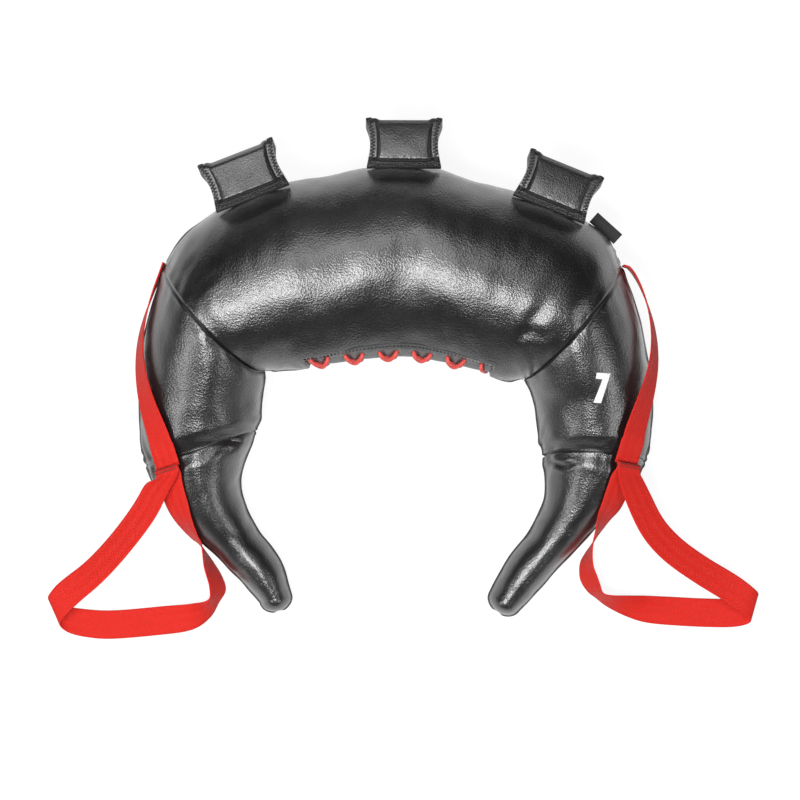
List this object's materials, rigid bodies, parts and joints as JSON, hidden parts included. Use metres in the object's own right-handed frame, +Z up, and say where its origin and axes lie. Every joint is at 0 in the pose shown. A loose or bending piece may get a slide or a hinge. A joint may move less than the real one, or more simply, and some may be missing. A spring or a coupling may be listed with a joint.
{
  "type": "bulgarian bag",
  "caption": "Stuffed leather crescent exercise bag with horn grips, a laced mouth, padded handles on the outer arc and red webbing straps and hand loops.",
  "frame": {"origin": "on the floor under the middle of the whole part, straps included", "axes": "+X across the two horns from left to right, +Y towards the crown of the arc, +Z up from the floor to the front side"},
  "size_m": [0.7416, 0.538, 0.138],
  "materials": {
    "black_leather": "fine pebble grain, satin sheen",
    "red_webbing": "woven twill, matt",
    "red_cord": "round braided cord, matt",
    "wadding": "packed wool and rag wadding",
    "sand": "fine dry sand in a cloth sleeve",
    "foam": "closed cell foam",
    "woven_tab": "close woven tape"
  },
  "bodies": {
    "bag": {"body_front_panel": "black_leather", "body_back_panel": "black_leather", "body_wadding": "wadding", "sand_sleeve": "sand", "left_arm_front_panel": "black_leather", "left_arm_back_panel": "black_leather", "left_arm_wadding": "wadding", "right_arm_front_panel": "black_leather", "right_arm_back_panel": "black_leather", "right_arm_wadding": "wadding", "mouth_front_facing": "black_leather", "mouth_back_facing": "black_leather", "mouth_tongue": "black_leather", "lace": "red_cord", "left_side_strap": "red_webbing", "right_side_strap": "red_webbing"},
    "left_horn": {"left_horn_front_cover": "black_leather", "left_horn_back_cover": "black_leather", "left_horn_wadding": "wadding"},
    "left_hand_loop": {"left_hand_loop": "red_webbing"},
    "right_horn": {"right_horn_front_cover": "black_leather", "right_horn_back_cover": "black_leather", "right_horn_wadding": "wadding"},
    "right_hand_loop": {"right_hand_loop": "red_webbing"},
    "left_handle": {"left_handle_outer_strip": "black_leather", "left_handle_foam_pad": "foam", "left_handle_lining": "black_leather"},
    "centre_handle": {"centre_handle_outer_strip": "black_leather", "centre_handle_foam_pad": "foam", "centre_handle_lining": "black_leather"},
    "right_handle": {"right_handle_outer_strip": "black_leather", "right_handle_foam_pad": "foam", "right_handle_lining": "black_leather"},
    "label": {"woven_label": "woven_tab"}
  },
  "joints": [
    {"name": "left_horn_flex", "type": "hinge", "parent": "bag", "child": "left_horn", "pos_m": [-0.20954, -0.06959, 0], "axis": [0, 0, 1], "range_deg": [-4, 4], "stiffness_Nm_per_rad": 20},
    {"name": "right_horn_flex", "type": "hinge", "parent": "bag", "child": "right_horn", "pos_m": [0.19949, -0.08158, 0], "axis": [0, 0, 1], "range_deg": [-4, 4], "stiffness_Nm_per_rad": 20},
    {"name": "left_loop_swing", "type": "hinge", "parent": "left_horn", "child": "left_hand_loop", "pos_m": [-0.24222, -0.08691, 0.07598], "axis": [-0.8001, -0.2496, -0.5454], "range_deg": [0, 95]},
    {"name": "right_loop_swing", "type": "hinge", "parent": "right_horn", "child": "right_hand_loop", "pos_m": [0.2299, -0.08299, 0.07515], "axis": [-0.7886, 0.1622, 0.5932], "range_deg": [0, 95]},
    {"name": "left_handle_fold", "type": "hinge", "parent": "bag", "child": "left_handle", "pos_m": [-0.15476, 0.18985, 0.087], "axis": [0.9327, 0.3606, 0], "range_deg": [-35, 35], "stiffness_Nm_per_rad": 0.6},
    {"name": "centre_handle_fold", "type": "hinge", "parent": "bag", "child": "centre_handle", "pos_m": [0.00077, 0.22176, 0.07904], "axis": [1, -0.0034, 0], "range_deg": [-35, 35], "stiffness_Nm_per_rad": 0.6},
    {"name": "right_handle_fold", "type": "hinge", "parent": "bag", "child": "right_handle", "pos_m": [0.15003, 0.17884, 0.08556], "axis": [0.9264, -0.3764, 0], "range_deg": [-35, 35], "stiffness_Nm_per_rad": 0.6},
    {"name": "label_fold", "type": "hinge", "parent": "bag", "child": "label", "pos_m": [0.20434, 0.15235, 0.05557], "axis": [0.7383, -0.6745, 0], "range_deg": [-40, 40], "stiffness_Nm_per_rad": 0.02}
  ]
}
